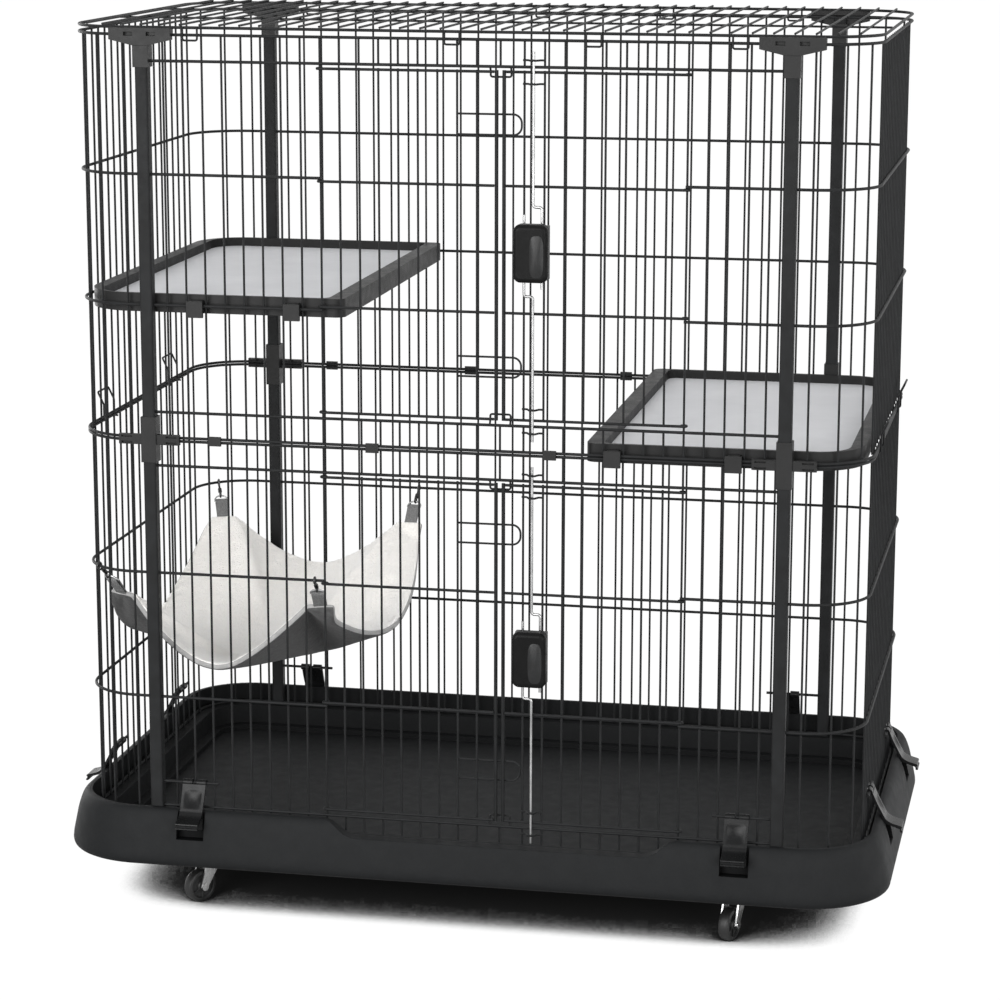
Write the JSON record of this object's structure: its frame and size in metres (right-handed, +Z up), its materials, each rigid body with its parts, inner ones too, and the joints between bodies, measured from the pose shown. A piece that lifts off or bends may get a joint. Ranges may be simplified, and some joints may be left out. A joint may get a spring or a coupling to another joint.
{
  "type": "cat playpen",
  "caption": "Two-tier wire cat playpen on a castered plastic tray, with paired doors and turn latches, shelves and a hammock inside.",
  "frame": {"origin": "on the floor, under the middle of the tray", "axes": "+X to the right seen from the front, +Y to the back, +Z up"},
  "size_m": [0.942, 0.574, 0.9849],
  "materials": {
    "wire_paint": "satin charcoal powder coat",
    "tray_plastic": "fine-grained charcoal moulding",
    "dark_plastic": "smooth dark moulding",
    "clip_plastic": "smooth dark grey",
    "knob_plastic": "smooth black",
    "chrome": "bright plating",
    "steel": "zinc-plated steel",
    "wheel": "black tread",
    "shelf_rim": "black moulding",
    "shelf_board": "pale grey sheet",
    "fleece": "off-white fleece",
    "webbing": "woven strap"
  },
  "bodies": {
    "cage": {"base_tray": "tray_plastic", "caster_stems": "steel", "lower_posts": "wire_paint", "upper_posts": "wire_paint", "mid_connectors": "dark_plastic", "top_connectors": "dark_plastic", "lower_left_panel": "wire_paint", "lower_right_panel": "wire_paint", "lower_back_panel": "wire_paint", "lower_front_panel": "wire_paint", "upper_left_panel": "wire_paint", "upper_right_panel": "wire_paint", "upper_back_panel": "wire_paint", "upper_front_panel": "wire_paint", "roof_panel": "wire_paint", "ring_clips": "dark_plastic", "tier_hooks": "wire_paint", "left_shelf_frame": "shelf_rim", "left_shelf_panel": "shelf_board", "right_shelf_frame": "shelf_rim", "right_shelf_panel": "shelf_board", "shelf_clips": "dark_plastic", "hammock_cloth": "fleece", "hammock_straps": "webbing", "hammock_hooks": "steel"},
    "lower_right_door": {"lower_right_door": "wire_paint", "lower_latch_case": "dark_plastic"},
    "lower_left_door": {"lower_left_door": "wire_paint"},
    "lower_latch_knob": {"lower_latch_knob": "knob_plastic"},
    "lower_latch_upper_rod": {"lower_latch_upper_rod": "chrome"},
    "lower_latch_lower_rod": {"lower_latch_lower_rod": "chrome"},
    "upper_right_door": {"upper_right_door": "wire_paint", "upper_latch_case": "dark_plastic"},
    "upper_left_door": {"upper_left_door": "wire_paint"},
    "upper_latch_knob": {"upper_latch_knob": "knob_plastic"},
    "upper_latch_upper_rod": {"upper_latch_upper_rod": "chrome"},
    "upper_latch_lower_rod": {"upper_latch_lower_rod": "chrome"},
    "caster_fork_front_left": {"caster_fork_front_left": "steel", "caster_axle_front_left": "steel"},
    "caster_wheel_front_left": {"caster_wheel_front_left": "wheel"},
    "caster_fork_front_right": {"caster_fork_front_right": "steel", "caster_axle_front_right": "steel"},
    "caster_wheel_front_right": {"caster_wheel_front_right": "wheel"},
    "caster_fork_back_left": {"caster_fork_back_left": "steel", "caster_axle_back_left": "steel"},
    "caster_wheel_back_left": {"caster_wheel_back_left": "wheel"},
    "caster_fork_back_right": {"caster_fork_back_right": "steel", "caster_axle_back_right": "steel"},
    "caster_wheel_back_right": {"caster_wheel_back_right": "wheel"},
    "tray_clip_front_left": {"tray_clip_front_left": "clip_plastic"},
    "tray_clip_front_right": {"tray_clip_front_right": "clip_plastic"},
    "tray_clip_back_left": {"tray_clip_back_left": "clip_plastic"},
    "tray_clip_back_right": {"tray_clip_back_right": "clip_plastic"},
    "tray_clip_left_front": {"tray_clip_left_front": "clip_plastic"},
    "tray_clip_left_back": {"tray_clip_left_back": "clip_plastic"},
    "tray_clip_right_front": {"tray_clip_right_front": "clip_plastic"},
    "tray_clip_right_back": {"tray_clip_right_back": "clip_plastic"}
  },
  "joints": [
    {"name": "lower_right_door_hinge", "type": "hinge", "parent": "cage", "child": "lower_right_door", "pos_m": [0.238, -0.2462, 0.3172], "axis": [0, 0, 1], "range_deg": [0, 135]},
    {"name": "lower_left_door_hinge", "type": "hinge", "parent": "cage", "child": "lower_left_door", "pos_m": [-0.152, -0.2462, 0.3172], "axis": [0, 0, 1], "range_deg": [-108, 0]},
    {"name": "lower_latch_knob_turn", "type": "hinge", "parent": "lower_right_door", "child": "lower_latch_knob", "pos_m": [0.07758, -0.2571, 0.3176], "axis": [0, 1, 0], "range_deg": [0, 90]},
    {"name": "lower_latch_upper_rod_slide", "type": "slide", "parent": "lower_right_door", "child": "lower_latch_upper_rod", "axis": [0, 0, -1], "range_m": [0, 0.01374]},
    {"name": "lower_latch_lower_rod_slide", "type": "slide", "parent": "lower_right_door", "child": "lower_latch_lower_rod", "axis": [0, 0, 1], "range_m": [0, 0.01374]},
    {"name": "upper_right_door_hinge", "type": "hinge", "parent": "cage", "child": "upper_right_door", "pos_m": [0.238, -0.2462, 0.75755], "axis": [0, 0, 1], "range_deg": [0, 150]},
    {"name": "upper_left_door_hinge", "type": "hinge", "parent": "cage", "child": "upper_left_door", "pos_m": [-0.152, -0.2462, 0.75755], "axis": [0, 0, 1], "range_deg": [-120, 0]},
    {"name": "upper_latch_knob_turn", "type": "hinge", "parent": "upper_right_door", "child": "upper_latch_knob", "pos_m": [0.07758, -0.2571, 0.7542], "axis": [0, 1, 0], "range_deg": [0, 90]},
    {"name": "upper_latch_upper_rod_slide", "type": "slide", "parent": "upper_right_door", "child": "upper_latch_upper_rod", "axis": [0, 0, -1], "range_m": [0, 0.01374]},
    {"name": "upper_latch_lower_rod_slide", "type": "slide", "parent": "upper_right_door", "child": "upper_latch_lower_rod", "axis": [0, 0, 1], "range_m": [0, 0.01374]},
    {"name": "caster_fork_front_left_swivel", "type": "hinge", "parent": "cage", "child": "caster_fork_front_left", "pos_m": [-0.298, -0.195, 0.0556], "axis": [0, 0, 1], "continuous": true},
    {"name": "caster_wheel_front_left_roll", "type": "hinge", "parent": "caster_fork_front_left", "child": "caster_wheel_front_left", "pos_m": [-0.31086, -0.21032, 0.0185], "axis": [0.766, -0.6428, 0], "continuous": true},
    {"name": "caster_fork_front_right_swivel", "type": "hinge", "parent": "cage", "child": "caster_fork_front_right", "pos_m": [0.298, -0.195, 0.0556], "axis": [0, 0, 1], "continuous": true},
    {"name": "caster_wheel_front_right_roll", "type": "hinge", "parent": "caster_fork_front_right", "child": "caster_wheel_front_right", "pos_m": [0.29182, -0.21402, 0.0185], "axis": [0.9511, -0.309, 0], "continuous": true},
    {"name": "caster_fork_back_left_swivel", "type": "hinge", "parent": "cage", "child": "caster_fork_back_left", "pos_m": [-0.298, 0.195, 0.0556], "axis": [0, 0, 1], "continuous": true},
    {"name": "caster_wheel_back_left_roll", "type": "hinge", "parent": "caster_fork_back_left", "child": "caster_wheel_back_left", "pos_m": [-0.27987, 0.18655, 0.0185], "axis": [0.4226, 0.9063, 0], "continuous": true},
    {"name": "caster_fork_back_right_swivel", "type": "hinge", "parent": "cage", "child": "caster_fork_back_right", "pos_m": [0.298, 0.195, 0.0556], "axis": [0, 0, 1], "continuous": true},
    {"name": "caster_wheel_back_right_roll", "type": "hinge", "parent": "caster_fork_back_right", "child": "caster_wheel_back_right", "pos_m": [0.308, 0.21232, 0.0185], "axis": [-0.866, 0.5, 0], "continuous": true},
    {"name": "tray_clip_front_left_swing", "type": "hinge", "parent": "cage", "child": "tray_clip_front_left", "pos_m": [-0.30211, -0.249, 0.1515], "axis": [-1, 0, 0], "range_deg": [0, 100]},
    {"name": "tray_clip_front_right_swing", "type": "hinge", "parent": "cage", "child": "tray_clip_front_right", "pos_m": [0.3022, -0.249, 0.1515], "axis": [-1, 0, 0], "range_deg": [0, 100]},
    {"name": "tray_clip_back_left_swing", "type": "hinge", "parent": "cage", "child": "tray_clip_back_left", "pos_m": [-0.30188, 0.249, 0.1515], "axis": [1, 0, 0], "range_deg": [0, 100]},
    {"name": "tray_clip_back_right_swing", "type": "hinge", "parent": "cage", "child": "tray_clip_back_right", "pos_m": [0.30188, 0.249, 0.1515], "axis": [1, 0, 0], "range_deg": [0, 100]},
    {"name": "tray_clip_left_front_swing", "type": "hinge", "parent": "cage", "child": "tray_clip_left_front", "pos_m": [-0.433, -0.11906, 0.1515], "axis": [0, 1, 0], "range_deg": [0, 100]},
    {"name": "tray_clip_left_back_swing", "type": "hinge", "parent": "cage", "child": "tray_clip_left_back", "pos_m": [-0.433, 0.11906, 0.1515], "axis": [0, 1, 0], "range_deg": [0, 100]},
    {"name": "tray_clip_right_front_swing", "type": "hinge", "parent": "cage", "child": "tray_clip_right_front", "pos_m": [0.433, -0.11906, 0.1515], "axis": [0, -1, 0], "range_deg": [0, 100]},
    {"name": "tray_clip_right_back_swing", "type": "hinge", "parent": "cage", "child": "tray_clip_right_back", "pos_m": [0.433, 0.11906, 0.1515], "axis": [0, -1, 0], "range_deg": [0, 100]}
  ],
  "couplings": [
    {"joint": "lower_left_door_hinge", "follows": "lower_right_door_hinge", "ratio": -0.8},
    {"joint": "lower_latch_knob_turn", "follows": "lower_latch_upper_rod_slide", "rad_per_m": 114.29},
    {"joint": "lower_latch_lower_rod_slide", "follows": "lower_latch_upper_rod_slide", "ratio": 1},
    {"joint": "upper_left_door_hinge", "follows": "upper_right_door_hinge", "ratio": -0.8},
    {"joint": "upper_latch_knob_turn", "follows": "upper_latch_upper_rod_slide", "rad_per_m": 114.29},
    {"joint": "upper_latch_lower_rod_slide", "follows": "upper_latch_upper_rod_slide", "ratio": 1}
  ]
}
